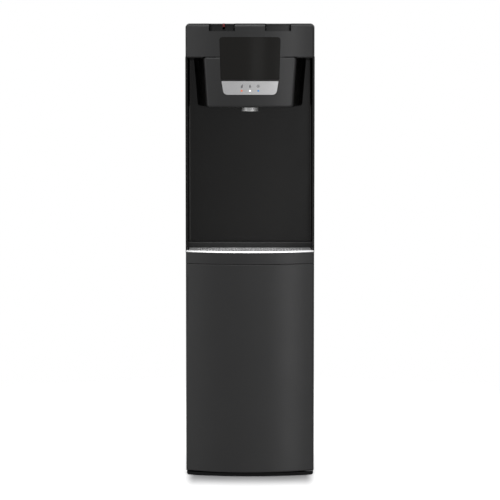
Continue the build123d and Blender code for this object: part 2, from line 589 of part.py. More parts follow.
def paddle(side):
    """Rocking paddle with a thin bright front edge and a skirt behind the hood's front wall."""
    left, right = sorted((side * (PADDLE_X[0] + 2.6), side * (PADDLE_X[1] - 2.6)))
    middle = (left + right) / 2
    with BuildPart() as skirt:
        slab(bow_band(PADDLE_X[1], SKIRT_INSET, SKIRT_INSET + 2.2), 1087, PADDLE_UNDER + 1)
        block(left, right, FRONT, -140, 1086, PADDLE_UNDER + 2, Mode.INTERSECT)
    with BuildPart() as piece:
        # thin lip that overhangs the skirt
        slab(bowed_plan(HALF, PADDLE_BACK - 1, 1.0), PADDLE_UNDER, PADDLE_TOP)
        block(left, right, FRONT - 1, PADDLE_BACK, PADDLE_UNDER - 1, PADDLE_TOP + 1, Mode.INTERSECT)
        rim = piece.edges().group_by(Axis.Z)[-1].filter_by(lambda e: e.center().Y < PADDLE_BACK - 2)
        fillet(rim, 1.5)
        add(skirt.part)
        for x in (left + 1, middle, right - 3):
            block(x, x + 2, -155, PIVOT[0], 1106, PADDLE_UNDER + 1)
        rod_x(left + 0.5, right - 0.5, *PIVOT, 4.2)
        block(left + 0.5, right - 0.5, PADDLE_BACK - 6, PIVOT[0] - 1, 1105, PADDLE_UNDER + 1)
        rod_x(left - 1, right + 1, *PIVOT, PIVOT_RADIUS + 0.06, Mode.SUBTRACT)
        if side < 0:  # slot for the safety catch
            slot = (LATCH_X - LATCH_HALF - 0.4, LATCH_X + LATCH_HALF + 0.4)
            block(*slot, FRONT, -156, 1103, HEIGHT + 1, Mode.SUBTRACT)
    return piece


save(paddle(-1), "hot_paddle")
save(paddle(1), "cold_paddle")

with BuildPart() as safety_catch:
    catch_front = bow_y(LATCH_X, 2.6)
    tab = (LATCH_X - LATCH_HALF, LATCH_X + LATCH_HALF)
    block(*tab, catch_front, -163, PADDLE_UNDER, HEIGHT)
    fillet(safety_catch.edges().filter_by(Axis.X).group_by(Axis.Z)[-1].sort_by(Axis.Y)[0], 2.5)
    block(*tab, catch_front + 0.6, catch_front + 2.4, PADDLE_UNDER - 4, PADDLE_UNDER + 1)
    # foot that catches behind the skirt's slot
    foot = (LATCH_X - 7, LATCH_X + 7)
    block(*foot, -166.8, -163, PADDLE_UNDER - 2.2, PADDLE_UNDER - 0.2)
    block(*tab, -166.8, -163, PADDLE_UNDER - 0.3, PADDLE_UNDER + 0.1)
save(safety_catch, "safety_catch")

PLATFORM = 1078.0
with BuildPart() as paddle_frame:
    block(-108, 108, -158, -95, PLATFORM, PLATFORM + 2)
    for side in (-1, 1):
        for x in (PADDLE_X[0] - 2.4, PADDLE_X[1] - 1.2):
            left, right = sorted((side * x, side * (x + 2.2)))
            block(left, right, -112, -95, PLATFORM, 1113)
        for x0, x1 in ((PADDLE_X[0] - 1, PADDLE_X[0] + 2.8), (PADDLE_X[1] - 2.8, PADDLE_X[1])):
            rod_x(min(side * x0, side * x1), max(side * x0, side * x1), *PIVOT, 3.6)
    for x in (-106, 0, 106):
        rod((x, -100), 3.5, PLATFORM + 1, ROOF - 0.05)
    for side in (-1, 1):
        left, right = sorted((side * (PADDLE_X[0] - 3), side * (PADDLE_X[1] + 3)))
        rod_x(left, right, *PIVOT, PIVOT_RADIUS + 0.01, Mode.SUBTRACT)
save(paddle_frame, "paddle_frame")

with BuildPart() as hinge_pins:
    rod(HINGE_AXIS, PIN_RADIUS, PLINTH_BOTTOM + 2.2, 32)
    rod(HINGE_AXIS, PIN_RADIUS, 508, FASCIA_BOTTOM + 11.8)
    for side in (-1, 1):
        left, right = sorted((side * (PADDLE_X[0] - 2.4), side * (PADDLE_X[1] + 1.0)))
        rod_x(left, right, *PIVOT, PIVOT_RADIUS)
save(hinge_pins, "hinge_pins")

SPRING_Y = -146.0
PADDLE_MID = (PADDLE_X[0] + PADDLE_X[1]) / 2
for name, side in (("hot_paddle_spring", -1), ("cold_paddle_spring", 1)):
    with BuildPart() as spring:
        coil((side * (PADDLE_MID - 8), SPRING_Y, PLATFORM + 2.5), 3.6, 0.45, 5, 32)
    save(spring, name)

with BuildPart() as microswitches:
    for side in (-1, 1):
        x = side * (PADDLE_MID + 12)
        block(x - 5, x + 5, -142, -122, PLATFORM + 2.02, 1092)
        block(x - 1.5, x + 1.5, -134, -131, 1091, 1094)
        rod_x(x - 7, x + 7, -126, 1085, 1.1, Mode.SUBTRACT)
save(microswitches, "microswitches")

# ------------------------------------------------------------------ cold side
COLD = (-66.0, 62.0)
HOT = (90.0, 62.0)
TANK_SHELF = 783.0
TANK_BOTTOM = 800.0
COLD_RADIUS = 58.0
HOT_RADIUS = 50.0
HOSE_RADIUS = 4.5

with BuildPart() as tank_shelf:
    block(-INSERT_HALF, INSERT_HALF, ALCOVE_BACK + 0.5, REAR - SHEET - 0.3, TANK_SHELF - 12, TANK_SHELF + SHEET)
    inside = (SHEET - INSERT_HALF, INSERT_HALF - SHEET, ALCOVE_BACK + 0.5 + SHEET, REAR - 2 * SHEET - 0.3)
    block(*inside, TANK_SHELF - 13, TANK_SHELF, Mode.SUBTRACT)
    for centre in ((-96, 52), (-110, 120), (-60, 120), HOT, (PASS_X, 138)):
        rod(centre, 6.5, TANK_SHELF - 1, TANK_SHELF + SHEET + 1, Mode.SUBTRACT)
save(tank_shelf, "tank_shelf")

with BuildPart() as cold_tank:
    rod(COLD, COLD_RADIUS, TANK_BOTTOM, 985)
    fillet(cold_tank.edges().group_by(Axis.Z)[0], 10)
    rod(COLD, COLD_RADIUS - 1.2, TANK_BOTTOM + 1.2, 984, Mode.SUBTRACT)
    rod(COLD, COLD_RADIUS + 3, 985, 987)
save(cold_tank, "cold_tank")

with BuildPart() as evaporator_coil:
    coil((*COLD, 815), COLD_RADIUS + 4.3, 4.0, 10, 90)
save(evaporator_coil, "evaporator_coil")

FOAM_BACK = COLD[1] + 80
with BuildPart() as tank_insulation:
    for y0, y1 in ((COLD[1] - 80, COLD[1] - 0.1), (COLD[1] + 0.1, FOAM_BACK)):
        block(COLD[0] - 84, COLD[0] + 84, y0, y1, TANK_SHELF + SHEET + 0.1, 1003)
    fillet(tank_insulation.edges().filter_by(Axis.Z).group_by(Axis.Y)[0], 8)
    fillet(tank_insulation.edges().filter_by(Axis.Z).group_by(Axis.Y)[-1], 8)
    rod(COLD, COLD_RADIUS + 9.5, TANK_BOTTOM - 5, 990, Mode.SUBTRACT)
    rod(HOT, HOT_RADIUS + 11, TANK_SHELF + SHEET + 0.1, 985)
    rod(HOT, HOT_RADIUS + 6, TANK_BOTTOM - 5, 986, Mode.SUBTRACT)
    rod(HOT, 5.5, TANK_SHELF, TANK_BOTTOM, Mode.SUBTRACT)
save(tank_insulation, "tank_insulation")

# ------------------------------------------------------------------ hot side
with BuildPart() as hot_tank:
    rod(HOT, HOT_RADIUS, TANK_BOTTOM, 980)
    fillet(hot_tank.edges().group_by(Axis.Z)[0], 10)
    fillet(hot_tank.edges().group_by(Axis.Z)[-1], 10)
    rod(HOT, HOT_RADIUS - 4, TANK_BOTTOM + 4, 976, Mode.SUBTRACT)
    rod(HOT, HOT_RADIUS + 3, 880, 884)
save(hot_tank, "hot_tank")

with BuildPart() as heater_band:
    rod(HOT, HOT_RADIUS + 3.5, 820, 860)
    rod(HOT, HOT_RADIUS + 0.05, 819, 861, Mode.SUBTRACT)
    block(HOT[0] + HOT_RADIUS - 2, HOT[0] + HOT_RADIUS + 6, HOT[1] - 1.5, HOT[1] + 1.5, 819, 861, Mode.SUBTRACT)
save(heater_band, "heater_band")

# ------------------------------------------------------------------ refrigeration
SHELL = (78.0, 60.0)  # half axes of the compressor's oval shell
SEAM = 668.0
with BuildPart() as compressor:
    with BuildSketch(Plane.XY.offset(590)):
        with Locations(COMPRESSOR):
            Ellipse(*SHELL)
    extrude(amount=160)
    fillet(compressor.edges().group_by(Axis.Z)[-1], 26)
    fillet(compressor.edges().group_by(Axis.Z)[0], 12)
    with BuildSketch(Plane.XY.offset(SEAM - 4)):
        with Locations(COMPRESSOR):
            Ellipse(SHELL[0] + 2, SHELL[1] + 2)
    extrude(amount=4)
    # hollow, sized so that the shell weighs what a filled compressor does
    with BuildSketch(Plane.XY.offset(603)):
        with Locations(COMPRESSOR):
            Ellipse(SHELL[0] - 11, SHELL[1] - 11)
    extrude(amount=124, mode=Mode.SUBTRACT)
    block(COMPRESSOR[0] - 84, COMPRESSOR[0] + 84, COMPRESSOR[1] - 61, COMPRESSOR[1] + 61, 586, 588)
    rod(COMPRESSOR, 44, 587, 591)
    for centre in GROMMETS:
        rod(centre, 4.05, 585, 589, Mode.SUBTRACT)
save(compressor, "compressor")

with BuildPart() as compressor_grommets:
    for centre in GROMMETS:
        rod(centre, 9, SHELF + SHEET + 0.02, 585.98)
        rod(centre, 3, SHELF, SHELF + 2)
        rod(centre, 4, 585, 590)
save(compressor_grommets, "compressor_grommets")

with BuildPart() as relay_box:
    block(COMPRESSOR[0] - 25, COMPRESSOR[0] + 25, -15, COMPRESSOR[1] - SHELL[1] - 0.1, 602, 655)
    fillet(relay_box.edges().group_by(Axis.Y)[0], 3)
save(relay_box, "relay_box")

DRIER_Z = (690.0, 755.0)
with BuildPart() as condenser_tube:
    run = [(COMPRESSOR[0] + SHELL[0] + 0.1, COMPRESSOR[1], 640), (PASS_X, COMPRESSOR[1], 640)]
    run += [(PASS_X, 138, 640), (PASS_X, 138, PASS_Z[0])]
    side = 1
    for level in PASS_Z:
        run += [(side * PASS_X, TUBE_Y, level), (-side * PASS_X, TUBE_Y, level)]
        side = -side
    run += [(-PASS_X, 138, PASS_Z[-1]), (-PASS_X, 138, DRIER_Z[0] - 0.1)]
    tube(run, 9, 2.5)
    for x in (-118, 118):
        for level in (PASS_Z[1], PASS_Z[-2]):
            block(x - 7, x + 7, REAR_OUT + 0.02, REAR_OUT + 1.5, level - 11, level + 11)
            block(x - 0.8, x + 0.8, REAR_OUT + 1, TUBE_Y - 1, level - 8, level + 8)
save(condenser_tube, "condenser_tube")

with BuildPart() as condenser_wires:
    for layer in (-1, 1):
        with BuildSketch(Plane.XY.offset(PASS_Z[-1] - 11)):
            with Locations((0, TUBE_Y + layer * 3.32)):
                with GridLocations(7.6, 1, 29, 1):
                    Circle(0.8)
        extrude(amount=PASS_Z[0] - PASS_Z[-1] + 22)
save(condenser_wires, "condenser_wires")

with BuildPart() as refrigerant_lines:
    # filter drier and the capillary above it
    rod((-PASS_X, 138), 9.0, *DRIER_Z)
    fillet(refrigerant_lines.edges(), 3)
    capillary = [(-PASS_X, 138, DRIER_Z[1] - 1), (-PASS_X, 138, 768), (-110, 120, 768)]
    tube(capillary + [(-110, 120, TANK_SHELF + SHEET)], 5, 1.2)
    # suction line from the evaporator back to the compressor
    suction = [(COMPRESSOR[0] - SHELL[0] - 0.1, COMPRESSOR[1], 640), (-60, COMPRESSOR[1], 640)]
    tube(suction + [(-60, 120, 640), (-60, 120, TANK_SHELF + SHEET)], 12, 3.2)
save(refrigerant_lines, "refrigerant_lines")

# ------------------------------------------------------------------ water path
PORTS = [(PUMP[0] - 12, PUMP[1]), (PUMP[0] + 12, PUMP[1])]
with BuildPart() as pump:
    block(PUMP[0] - 36, PUMP[0] + 36, PUMP[1] - 30, PUMP[1] + 30, SHELF + SHEET + 0.05, 579)
    rod(PUMP, 22, 578, 612)
    rod(PUMP, 28, 612, 664)
    fillet(pump.edges().group_by(Axis.Z)[-1], 4)
    for centre in PORTS:
        rod(centre, 4, 663, 680)
        rod(centre, 4.6, 672, 674)
        rod(centre, 2.4, 666, 681, Mode.SUBTRACT)
save(pump, "pump")

PROBE_CAP = (468.0, 516.0)
with BuildPart() as bottle_probe:
    rod(PROBE, 6, 62, PROBE_CAP[0] + 1)
    rod(PROBE, 27, *PROBE_CAP)
    fillet(bottle_probe.edges().group_by(Axis.Z)[-1], 6)
    rod(PROBE, 24.5, PROBE_CAP[0] - 1, PROBE_CAP[1] - 8, Mode.SUBTRACT)
    rod(PROBE, 6, PROBE_CAP[0] - 1, PROBE_CAP[1] - 4)
    rod(PROBE, 7.5, 62, 84)
    rod(PROBE, 4.2, 60, PROBE_CAP[1] + 1, Mode.SUBTRACT)
    for level in (68, 74, 80):
        block(PROBE[0] - 9, PROBE[0] + 9, PROBE[1] - 2, PROBE[1] + 2, level - 1.5, level + 1.5, Mode.SUBTRACT)
save(bottle_probe, "bottle_probe")

VALVE_X = 32.0
VALVE_Z = (965.0, 1008.0)
with BuildPart() as water_valves:
    for side in (-1, 1):
        x = side * VALVE_X
        block(x - 14, x + 14, -116, -84, VALVE_Z[0] + 6, VALVE_Z[1] - 8)
        rod_y(-84, -62, x, (VALVE_Z[0] + VALVE_Z[1]) / 2, 11)
        rod((x, -100), 5, VALVE_Z[0], VALVE_Z[1])
save(water_valves, "water_valves")

with BuildPart() as water_hoses:
    tube([(*PROBE, PROBE_CAP[1] + 0.1), (*PROBE, 704), (*PORTS[0], 704), (*PORTS[0], 680.1)], 16, HOSE_RADIUS)
    tube([(*PORTS[1], 680.1), (*PORTS[1], TANK_SHELF + SHEET)], 10, HOSE_RADIUS)
    cold_top = (COLD[0], 20)
    hot_top = (HOT[0] - 26, 62)
    for start, top, side in ((cold_top, 1003.1, -1), (hot_top, 980.1, 1)):
        x = side * VALVE_X
        route = [(*start, top), (*start, 1022), (x, -50, 1022), (x, -100, 1022), (x, -100, VALVE_Z[1] + 0.1)]
        tube(route, 8, HOSE_RADIUS)
        spout = (NOZZLE[0] + side * SPOUT_X[1], NOZZLE[1])
        route = [(x, -100, VALVE_Z[0] - 0.1), (x, -100, 955), (*spout, 946), (*spout, 936.1)]
        tube(route, 5, HOSE_RADIUS)
    drain_end = (DRAIN[0], 129.9, DRAIN[1])
    route = [(*HOT, TANK_BOTTOM - 0.1), (*HOT, 766), (DRAIN[0], 117, 766), (DRAIN[0], 117, DRAIN[1]), drain_end]
    tube(route, 10, HOSE_RADIUS)
save(water_hoses, "water_hoses")

# ------------------------------------------------------------------ back of the cabinet
with BuildPart() as drain_spigot:
    rod_y(REAR_OUT + 0.05, REAR_OUT + 3, *DRAIN, 13)
    rod_y(REAR_OUT + 2, REAR_OUT + 17, *DRAIN, 8)
    rod_y(146, REAR_OUT + 1, *DRAIN, 9)
    rod_y(145, REAR - 0.05, *DRAIN, 12)
    rod_y(130, 146, *DRAIN, 5)
    rod_y(129, REAR_OUT + 18, *DRAIN, 3.4, Mode.SUBTRACT)
save(drain_spigot, "drain_spigot")

with BuildPart() as drain_cap:
    rod_y(REAR_OUT + 5, REAR_OUT + 21, *DRAIN, 11.5)
    fillet(drain_cap.edges().group_by(Axis.Y)[-1], 1.5)
    rod_y(REAR_OUT + 4, REAR_OUT + 18.5, *DRAIN, 8.06, Mode.SUBTRACT)
    with BuildSketch(Plane.XZ.offset(-REAR_OUT - 4)) as grips:
        with Locations(DRAIN):
            with PolarLocations(11.9, 16):
                Circle(1.1)
    extrude(amount=-20, mode=Mode.SUBTRACT)
save(drain_cap, "drain_cap")

with BuildPart() as mains_gland:
    rod_y(REAR_OUT + 0.05, REAR_OUT + 8, *GLAND, 11)
    rod_y(REAR_OUT + 7, REAR_OUT + 14, *GLAND, 8.5)
    fillet(mains_gland.edges().group_by(Axis.Y)[-1], 2)
    rod_y(146, REAR_OUT + 1, *GLAND, 8)
    rod_y(145, REAR - 0.05, *GLAND, 11)
    rod_y(144, REAR_OUT + 15, *GLAND, 4.2, Mode.SUBTRACT)
save(mains_gland, "mains_gland")

ROCKER_PIVOT = (148.0, SWITCH_Z)
with BuildPart() as switch_plate:
    block(*SWITCH_PLATE, REAR_OUT + 0.05, REAR_OUT + 1.6, SWITCH_Z - 20, SWITCH_Z + 20)
    fillet(switch_plate.edges().filter_by(Axis.Y), 4)
    for x in SWITCH_X:
        block(x - 9.5, x + 9.5, 134, REAR_OUT + 1, SWITCH_Z - 15, SWITCH_Z + 15)
    for x in SWITCH_X:
        block(x - 7, x + 7, 136, REAR_OUT + 2, SWITCH_Z - 12.4, SWITCH_Z + 12.4, Mode.SUBTRACT)
        rod_x(x - 8.6, x + 8.6, *ROCKER_PIVOT, 1.56, Mode.SUBTRACT)
save(switch_plate, "switch_plate")

TILT = 10.0
for name, x in zip(("hot_switch", "cold_switch"), SWITCH_X):
    tilted = Plane(
        origin=(x - 6.6, *ROCKER_PIVOT),
        x_dir=(0, cos(radians(TILT)), sin(radians(TILT))),
        z_dir=(1, 0, 0),
    )
    with BuildPart() as rocker:
        with BuildSketch(tilted):
            with BuildLine():
                Polyline((-3, -7), (6, -10), (10, -10), (8, 0), (10, 10), (6, 10), (-3, 7), close=True)
            make_face()
        extrude(amount=13.2)
        rod_x(x - 8.4, x + 8.4, *ROCKER_PIVOT, 1.5)
    save(rocker, name)

with BuildPart() as circuit_boards:
    # behind the indicator plate
    block(-36, 36, FRONT + 9.2, FRONT + 10.8, 942, 976)
    for x in LED_X:
        block(x - 6, x + 6, FRONT + 10.8, FRONT + 14, 960, 970)
    block(-8, 8, FRONT + 10.8, FRONT + 18, 944, 952)
    # main board on the right side panel, beside the compressor
    block(150, 151.6, -24, 52, 600, 740)
    for y in (-19, 47):
        for level in (606, 734):
            rod_x(151, SIDE_INNER - 0.05, y, level, 3)
    for y0, y1, z0, z1, depth in (
        (-18, 8, 612, 640, 22),
        (14, 30, 612, 630, 15),
        (34, 48, 612, 630, 15),
        (-18, -8, 650, 690, 9),
        (0, 40, 650, 676, 3),
        (0, 12, 690, 726, 12),
        (20, 46, 690, 700, 8),
        (-18, -6, 700, 726, 10),
    ):
        block(150 - depth, 150.5, y0, y1, z0, z1)
save(circuit_boards, "circuit_boards")
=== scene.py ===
"""Looks of the floor-standing water dispenser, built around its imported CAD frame.

Everything is in metres in the CAD frame: +X to the right, -Y towards the viewer, +Z up.
"""

import json
from math import cos, pi, radians, sin, sqrt

import bmesh
import bpy
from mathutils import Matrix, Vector


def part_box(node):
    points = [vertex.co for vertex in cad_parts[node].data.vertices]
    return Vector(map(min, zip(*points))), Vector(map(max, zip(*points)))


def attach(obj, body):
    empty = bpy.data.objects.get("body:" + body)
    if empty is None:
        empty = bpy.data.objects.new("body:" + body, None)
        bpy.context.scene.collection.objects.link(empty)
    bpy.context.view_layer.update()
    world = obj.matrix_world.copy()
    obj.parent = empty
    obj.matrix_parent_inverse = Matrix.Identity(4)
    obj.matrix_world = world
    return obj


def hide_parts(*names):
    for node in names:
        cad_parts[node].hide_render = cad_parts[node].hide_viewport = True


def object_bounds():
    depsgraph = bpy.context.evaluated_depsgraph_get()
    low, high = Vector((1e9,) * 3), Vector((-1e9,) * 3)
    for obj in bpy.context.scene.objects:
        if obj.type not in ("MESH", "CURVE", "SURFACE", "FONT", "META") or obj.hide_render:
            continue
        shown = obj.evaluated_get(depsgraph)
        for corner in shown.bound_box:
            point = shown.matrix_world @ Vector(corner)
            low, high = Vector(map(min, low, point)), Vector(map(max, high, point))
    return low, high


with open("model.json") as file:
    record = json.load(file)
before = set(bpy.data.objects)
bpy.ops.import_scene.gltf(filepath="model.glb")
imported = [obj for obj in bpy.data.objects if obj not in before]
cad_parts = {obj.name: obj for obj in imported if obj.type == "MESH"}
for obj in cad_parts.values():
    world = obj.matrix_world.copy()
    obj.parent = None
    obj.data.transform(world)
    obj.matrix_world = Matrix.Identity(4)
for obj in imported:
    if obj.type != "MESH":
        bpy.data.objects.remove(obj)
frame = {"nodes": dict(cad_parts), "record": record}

CAD_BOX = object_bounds()
NODES = frame["nodes"]
SLOT_OF = {part["node"]: part["material_slot"] for part in frame["record"]["subparts"]}


# ------------------------------------------------------------------ shader building blocks
class Surface:
    """One procedural material: a Principled shader and the noise nodes that feed it."""

    def __init__(self, name, colour, roughness=0.4, metallic=0.0, **sockets):
        self.material = bpy.data.materials.new(name)
        self.material.use_nodes = True
        self.tree = self.material.node_tree
        self.shader = self.tree.nodes["Principled BSDF"]
        self.colour = (*colour, 1.0)
        self.set("Base Color", self.colour)
        self.set("Roughness", roughness)
        self.set("Metallic", metallic)
        for socket, value in sockets.items():
            self.set(socket.replace("_", " "), value)
        self.place = self.node("ShaderNodeTexCoord").outputs["Object"]
        self.normal = None

    def set(self, socket, value):
        self.shader.inputs[socket].default_value = value

    def node(self, kind, **settings):
        made = self.tree.nodes.new(kind)
        for key, value in settings.items():
            setattr(made, key, value)
        return made

    def link(self, start, end):
        self.tree.links.new(start, end)

    def stretched(self, x, y, z):
        """Texture place with each axis multiplied: marks run along the axis with the smallest number."""
        mapping = self.node("ShaderNodeMapping")
        mapping.inputs["Scale"].default_value = (x, y, z)
        self.link(self.place, mapping.inputs["Vector"])
        return mapping.outputs["Vector"]

    def noise(self, scale, detail=4.0, roughness=0.55, place=None, distortion=0.0):
        made = self.node("ShaderNodeTexNoise")
        made.inputs["Scale"].default_value = scale
        made.inputs["Detail"].default_value = detail
        made.inputs["Roughness"].default_value = roughness
        made.inputs["Distortion"].default_value = distortion
        self.link(place or self.place, made.inputs["Vector"])
        return made.outputs["Fac"]

    def cells(self, scale, place=None):
        made = self.node("ShaderNodeTexVoronoi")
        made.inputs["Scale"].default_value = scale
        self.link(place or self.place, made.inputs["Vector"])
        return made.outputs

    def cell_grey(self, scale, place=None):
        """One even grey for each cell."""
        grey = self.node("ShaderNodeRGBToBW")
        self.link(self.cells(scale, place)["Color"], grey.inputs["Color"])
        return grey.outputs["Val"]

    def ramp(self, source, *stops):
        """Colour ramp with stops of (position, colour)."""
        made = self.node("ShaderNodeValToRGB")
        while len(made.color_ramp.elements) < len(stops):
            made.color_ramp.elements.new(0.5)
        for element, (position, colour) in zip(made.color_ramp.elements, stops):
            element.position = position
            element.color = (*colour, 1.0)
        self.link(source, made.inputs["Fac"])
        return made.outputs["Color"]

    def remap(self, source, low, high, out_low, out_high, interpolation="LINEAR"):
        made = self.node("ShaderNodeMapRange", interpolation_type=interpolation)
        sockets = ("From Min", "From Max", "To Min", "To Max")
        for socket, value in zip(sockets, (low, high, out_low, out_high)):
            made.inputs[socket].default_value = value
        self.link(source, made.inputs["Value"])
        return made.outputs["Result"]

    def tint(self, source, spread, low=0.35, high=0.65):
        """Vary the base colour by a share either way, following a noise."""
        darker = tuple(c * (1 - spread) for c in self.colour[:3])
        lighter = tuple(c * (1 + spread) for c in self.colour[:3])
        self.link(self.ramp(source, (low, darker), (high, lighter)), self.shader.inputs["Base Color"])

    def roughen(self, source, out_low, out_high, low=0.35, high=0.65):
        self.link(self.remap(source, low, high, out_low, out_high), self.shader.inputs["Roughness"])

    def bump(self, source, depth, strength=1.0):
        """Add relief of that depth in metres, on top of any relief so far."""
        made = self.node("ShaderNodeBump")
        made.inputs["Distance"].default_value = depth
        made.inputs["Strength"].default_value = strength
        self.link(source, made.inputs["Height"])
        if self.normal:
            self.link(self.normal, made.inputs["Normal"])
        self.normal = made.outputs["Normal"]
        self.link(self.normal, self.shader.inputs["Normal"])


# ------------------------------------------------------------------ finishes
def moulded(name, colour, roughness, specular=0.5):
    """Satin moulded plastic with a fine spark-eroded grain."""
    surface = Surface(name, colour, roughness, Specular_IOR_Level=specular)
    surface.tint(surface.noise(9, 3), 0.03)
    surface.roughen(surface.noise(12, 2), roughness - 0.012, roughness + 0.012)
    surface.bump(surface.noise(1900, 2, 0.5), 0.00001)
    return surface.material


def gloss(name, colour, roughness, coat=0.3, specular=0.5):
    """Polished moulding with a clear top layer and a trace of orange peel."""
    surface = Surface(name, colour, roughness, Coat_Weight=coat, Coat_Roughness=roughness * 0.6,
                      Specular_IOR_Level=specular)
    surface.tint(surface.noise(6, 2), 0.04)
    surface.roughen(surface.noise(10, 2), roughness - 0.01, roughness + 0.02)
    surface.bump(surface.noise(140, 2), 0.00001, 0.5)
    return surface.material


def powder_coat(name, colour, roughness=0.42):
    """Powder-coated steel with its close orange-peel texture."""
    surface = Surface(name, colour, roughness, Specular_IOR_Level=0.5)
    surface.tint(surface.noise(14, 4), 0.04)
    surface.roughen(surface.noise(90, 3), roughness - 0.02, roughness + 0.03)
    surface.bump(surface.noise(700, 2, 0.4), 0.00005)
    return surface.material


def galvanised(name, colour):
    """Zinc-coated sheet: flat crystals about a centimetre across, each a slightly different grey."""
    surface = Surface(name, colour, 0.42, 0.85)
    crystals = surface.cell_grey(130, surface.stretched(1.0, 1.0, 0.75))
    surface.tint(crystals, 0.16, 0.2, 0.8)
    surface.roughen(crystals, 0.34, 0.52, 0.2, 0.8)
    surface.bump(surface.noise(900, 3), 0.00002)
    return surface.material


def brushed(name, colour):
    """Bright steel with drawn marks running along X."""
    surface = Surface(name, colour, 0.3, 1.0)
    marks = surface.noise(30, 6, 0.7, surface.stretched(3, 60, 60))
    surface.tint(marks, 0.12)
    surface.roughen(marks, 0.22, 0.42)
    surface.bump(marks, 0.00002)
    return surface.material


def plated(name, colour, roughness, metallic=1.0):
    """Chrome plating on plastic, with faint handling marks."""
    surface = Surface(name, colour, roughness, metallic)
    surface.tint(surface.noise(25, 4), 0.03)
    surface.roughen(surface.noise(160, 6, 0.7), roughness, roughness + 0.07)
    surface.bump(surface.noise(260, 2), 0.000008)
    return surface.material


def copper(name, colour):
    """Drawn copper tube, darkened in patches by handling and heat."""
    surface = Surface(name, colour, 0.32, 1.0)
    patches = surface.noise(35, 6, 0.65, distortion=0.6)
    dull = tuple(c * share for c, share in zip(colour, (0.55, 0.42, 0.4)))
    patched = surface.ramp(patches, (0.38, dull), (0.62, colour))
    surface.link(patched, surface.shader.inputs["Base Color"])
    surface.roughen(patches, 0.5, 0.26)
    surface.bump(surface.noise(500, 3), 0.00001)
    return surface.material


def rubber(name, colour):
    """Dull moulded rubber."""
    surface = Surface(name, colour, 0.8, Specular_IOR_Level=0.3)
    surface.tint(surface.noise(60, 4), 0.2)
    surface.roughen(surface.noise(220, 4), 0.7, 0.92)
    surface.bump(surface.noise(1400, 3), 0.00005)
    return surface.material


def silicone(name, colour):
    """Milky translucent hose."""
    surface = Surface(name, colour, 0.35, Transmission_Weight=0.45, IOR=1.41)
    surface.tint(surface.noise(40, 3), 0.05)
    surface.roughen(surface.noise(120, 4), 0.28, 0.45)
    surface.bump(surface.noise(300, 2), 0.00003)
    return surface.material


def foam(name, colour):
    """Expanded foam: close-packed beads a few millimetres across."""
    surface = Surface(name, colour, 0.85, Specular_IOR_Level=0.25)
    beads = surface.cells(260)
    edges = surface.remap(beads["Distance"], 0.0, 0.7, 1.0, 0.0)
    surface.tint(edges, 0.10, 0.1, 0.9)
    surface.bump(edges, 0.0005, 0.8)
    return surface.material


def board(name, colour):
    """Solder mask over copper tracks: the tracks show as lighter, slightly raised lines."""
    surface = Surface(name, colour, 0.3, Coat_Weight=0.4)
    tracks = surface.node("ShaderNodeTexBrick")
    tracks.inputs["Scale"].default_value = 90
    tracks.inputs["Mortar Size"].default_value = 0.05
    surface.link(surface.stretched(1.0, 1.0, 1.0), tracks.inputs["Vector"])
    surface.tint(tracks.outputs["Fac"], 0.35, 0.2, 0.8)
    surface.bump(tracks.outputs["Fac"], 0.00005)
    return surface.material


def metallic_paint(name, colour):
    """Silver paint with fine metal flake under a clear coat."""
    surface = Surface(name, colour, 0.34, 0.55, Coat_Weight=0.35, Coat_Roughness=0.12)
    surface.tint(surface.cell_grey(3200), 0.10, 0.1, 0.9)
    surface.roughen(surface.noise(90, 4), 0.28, 0.42)
    surface.bump(surface.noise(1500, 2), 0.00001)
    return surface.material


def light_pipe(name, colour, strength):
    """Lit indicator: a diffusing plastic that glows evenly."""
    surface = Surface(name, colour, 0.25, Emission_Color=(*colour, 1.0), Emission_Strength=strength)
    surface.roughen(surface.noise(400, 3), 0.2, 0.35)
    surface.bump(surface.noise(1200, 2), 0.00002)
    return surface.material


# slot: finish, colour and whatever else the finish takes
SLOT_FINISHES = {
    "graphite_shell": (moulded, (0.030, 0.030, 0.0305), 0.38),
    "graphite_door": (moulded, (0.033, 0.033, 0.0335), 0.38),
    "gloss_black": (gloss, (0.0078, 0.0073, 0.0068), 0.20, 0.0, 0.43),
    "display_tint": (gloss, (0.0150, 0.0142, 0.0132), 0.18, 0.0, 0.22),
    "silver_plate": (metallic_paint, (0.75, 0.75, 0.755)),
    "chrome_trim": (plated, (0.90, 0.90, 0.905), 0.30),
    "grille_grey": (moulded, (0.74, 0.74, 0.745), 0.4),
    "black_plastic": (moulded, (0.014, 0.014, 0.0145), 0.5),
    # painted shade: the paddles' plastic is darker than the shell, partly its own grey and partly standing
    # in for the shade in the notch under each paddle's lip
    "paddle_plastic": (moulded, (0.020, 0.020, 0.0205), 0.40),
    "black_paint": (powder_coat, (0.014, 0.014, 0.0145)),
    "zinc_sheet": (galvanised, (0.46, 0.47, 0.48)),
    "bright_steel": (brushed, (0.62, 0.62, 0.63)),
    "copper": (copper, (0.80, 0.38, 0.22)),
    "white_plastic": (moulded, (0.74, 0.74, 0.72), 0.42),
    "black_rubber": (rubber, (0.017, 0.017, 0.017)),
    "clear_hose": (silicone, (0.80, 0.82, 0.80)),
    "magnet_grey": (powder_coat, (0.26, 0.26, 0.265), 0.5),
    "foam": (foam, (0.83, 0.81, 0.74)),
    "board_green": (board, (0.015, 0.13, 0.045)),
    "red_plastic": (gloss, (0.20, 0.012, 0.012), 0.28),
    "green_plastic": (gloss, (0.02, 0.28, 0.06), 0.24),
    "red_light": (light_pipe, (0.85, 0.20, 0.09), 0.35),
    "white_light": (light_pipe, (0.97, 0.98, 1.0), 0.7),
    "blue_light": (light_pipe, (0.12, 0.32, 0.62), 0.35),
}
MATERIALS = {slot: finish(slot, *settings) for slot, (finish, *settings) in SLOT_FINISHES.items()}
